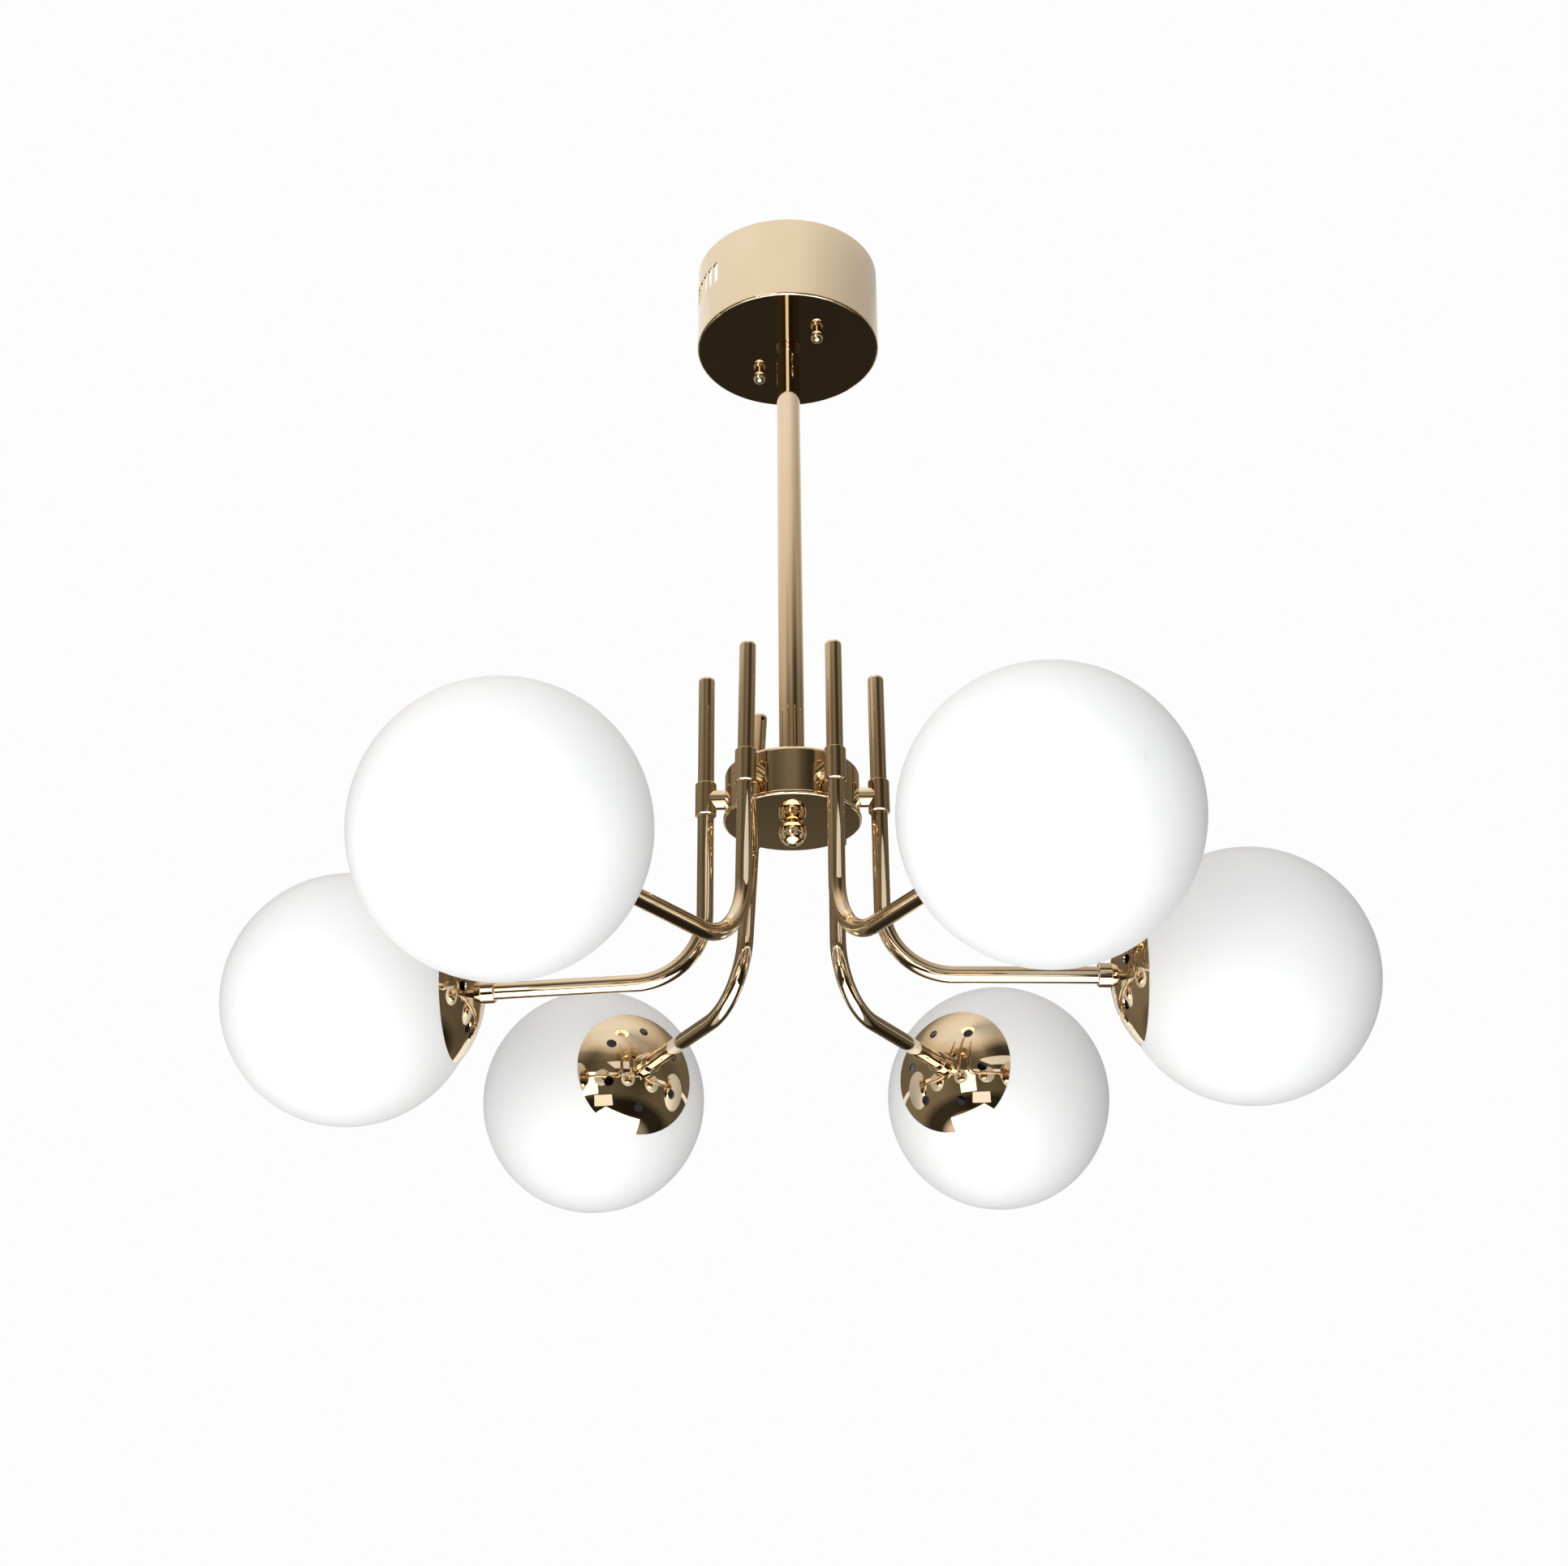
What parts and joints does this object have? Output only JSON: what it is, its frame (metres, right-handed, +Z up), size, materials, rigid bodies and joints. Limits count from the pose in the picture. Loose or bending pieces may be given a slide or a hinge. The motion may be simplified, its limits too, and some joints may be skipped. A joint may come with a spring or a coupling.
{
  "type": "ceiling light",
  "caption": "Ceiling light with a canopy, a stem and a drum hub that carries bent brass arms, each with a vented domed cap and an opal glass globe.",
  "frame": {"origin": "middle of the canopy's top rim, on the ceiling", "axes": "+Z up along the stem towards the ceiling, -Y towards the viewer of the picture, +X to the viewer's right"},
  "size_m": [0.6784, 0.6084, 0.5941],
  "materials": {
    "polished_brass": "polished, clear lacquer",
    "zinc_steel": "zinc plated",
    "terminal_plastic": "natural nylon",
    "holder_plastic": "matt black",
    "opal_glass": "satin opal, not see-through",
    "frosted_bulb": "frosted white"
  },
  "bodies": {
    "fixture": {"canopy": "polished_brass", "ceiling_bar": "zinc_steel", "canopy_studs": "zinc_steel", "stud_lock_nuts": "zinc_steel", "ball_nuts": "polished_brass", "terminal_block": "terminal_plastic", "terminal_screw": "zinc_steel", "stem": "polished_brass", "stem_ring": "polished_brass", "stem_washers": "zinc_steel", "stem_lock_nuts": "zinc_steel", "hub_drum": "polished_brass", "hub_strap": "zinc_steel", "hub_base_plate": "polished_brass", "finial_stud": "zinc_steel", "ball_finial": "polished_brass", "stub_nuts": "zinc_steel", "front_right_sleeve": "polished_brass", "mid_right_sleeve": "polished_brass", "back_right_sleeve": "polished_brass", "back_left_sleeve": "polished_brass", "mid_left_sleeve": "polished_brass", "front_left_sleeve": "polished_brass"},
    "front_right_arm": {"front_right_tube": "polished_brass", "front_right_collar": "polished_brass", "front_right_cap": "polished_brass", "front_right_lampholder": "holder_plastic", "front_right_bulb": "frosted_bulb", "front_right_globe": "opal_glass"},
    "mid_right_arm": {"mid_right_tube": "polished_brass", "mid_right_collar": "polished_brass", "mid_right_cap": "polished_brass", "mid_right_lampholder": "holder_plastic", "mid_right_bulb": "frosted_bulb", "mid_right_globe": "opal_glass"},
    "back_right_arm": {"back_right_tube": "polished_brass", "back_right_collar": "polished_brass", "back_right_cap": "polished_brass", "back_right_lampholder": "holder_plastic", "back_right_bulb": "frosted_bulb", "back_right_globe": "opal_glass"},
    "back_left_arm": {"back_left_tube": "polished_brass", "back_left_collar": "polished_brass", "back_left_cap": "polished_brass", "back_left_lampholder": "holder_plastic", "back_left_bulb": "frosted_bulb", "back_left_globe": "opal_glass"},
    "mid_left_arm": {"mid_left_tube": "polished_brass", "mid_left_collar": "polished_brass", "mid_left_cap": "polished_brass", "mid_left_lampholder": "holder_plastic", "mid_left_bulb": "frosted_bulb", "mid_left_globe": "opal_glass"},
    "front_left_arm": {"front_left_tube": "polished_brass", "front_left_collar": "polished_brass", "front_left_cap": "polished_brass", "front_left_lampholder": "holder_plastic", "front_left_bulb": "frosted_bulb", "front_left_globe": "opal_glass"}
  },
  "joints": [
    {"name": "front_right_swing", "type": "hinge", "parent": "fixture", "child": "front_right_arm", "pos_m": [0.0264, -0.04573, -0.3988], "axis": [0.003, 0.0017, 1], "range_deg": [-14.3, 15.7]},
    {"name": "mid_right_swing", "type": "hinge", "parent": "fixture", "child": "mid_right_arm", "pos_m": [0.0528, 0, -0.3988], "axis": [0, 0.0035, 1], "range_deg": [-14.5, 15.5]},
    {"name": "back_right_swing", "type": "hinge", "parent": "fixture", "child": "back_right_arm", "pos_m": [0.0264, 0.04573, -0.3988], "axis": [0.003, -0.0017, 1], "range_deg": [-14.4, 15.6]},
    {"name": "back_left_swing", "type": "hinge", "parent": "fixture", "child": "back_left_arm", "pos_m": [-0.0264, 0.04573, -0.3988], "axis": [0.0559, 0.0323, 0.9979], "range_deg": [-16, 14]},
    {"name": "mid_left_swing", "type": "hinge", "parent": "fixture", "child": "mid_left_arm", "pos_m": [-0.0528, 0, -0.3988], "axis": [0, -0.0262, 0.9997], "range_deg": [-12.3, 17.7]},
    {"name": "front_left_swing", "type": "hinge", "parent": "fixture", "child": "front_left_arm", "pos_m": [-0.0264, -0.04573, -0.3988], "axis": [0.0151, -0.0087, 0.9998], "range_deg": [-13.7, 16.3]}
  ]
}
